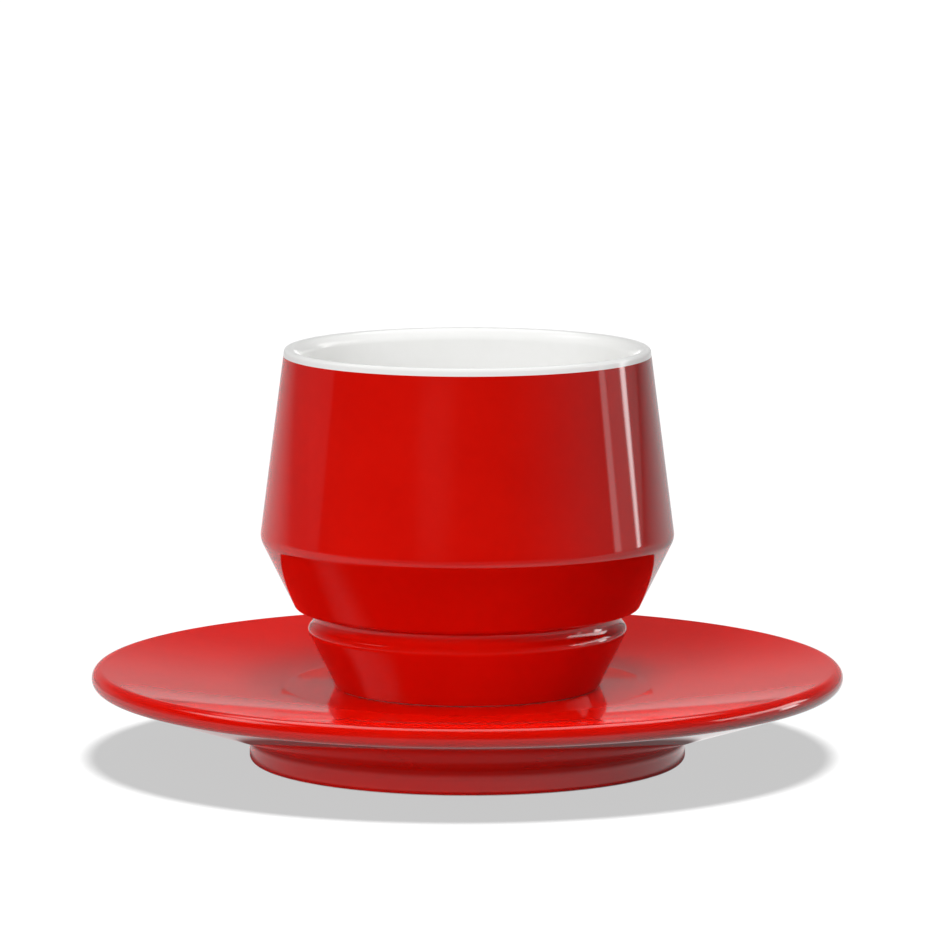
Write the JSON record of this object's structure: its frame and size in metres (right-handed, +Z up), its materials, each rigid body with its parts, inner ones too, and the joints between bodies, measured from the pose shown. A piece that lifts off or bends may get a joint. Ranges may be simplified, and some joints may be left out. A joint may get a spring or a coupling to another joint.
{
  "type": "cappuccino cup with saucer",
  "caption": "Handleless cup with a shouldered conical bowl, ring groove and tapered foot, red outside and white inside, on a matching wide saucer with a foot ring.",
  "frame": {"origin": "centre of the plane on which the saucer's foot ring stands", "axes": "+Z up along the common axis of cup and saucer; +X and +Y in the standing plane, with no preferred direction because both pieces are turned shapes"},
  "size_m": [0.155, 0.155, 0.0853],
  "materials": {
    "white_porcelain": "clear gloss glaze; bare on the two standing faces",
    "red_glaze": "high gloss red coat"
  },
  "bodies": {
    "saucer": {"saucer_body": "white_porcelain", "saucer_red_coat": "red_glaze"},
    "cup": {"cup_body": "white_porcelain", "cup_red_coat": "red_glaze"}
  },
  "joints": [
    {"name": "cup_lift", "type": "slide", "parent": "saucer", "child": "cup", "axis": [0, 0, 1], "range_m": [0, 0.1]}
  ]
}
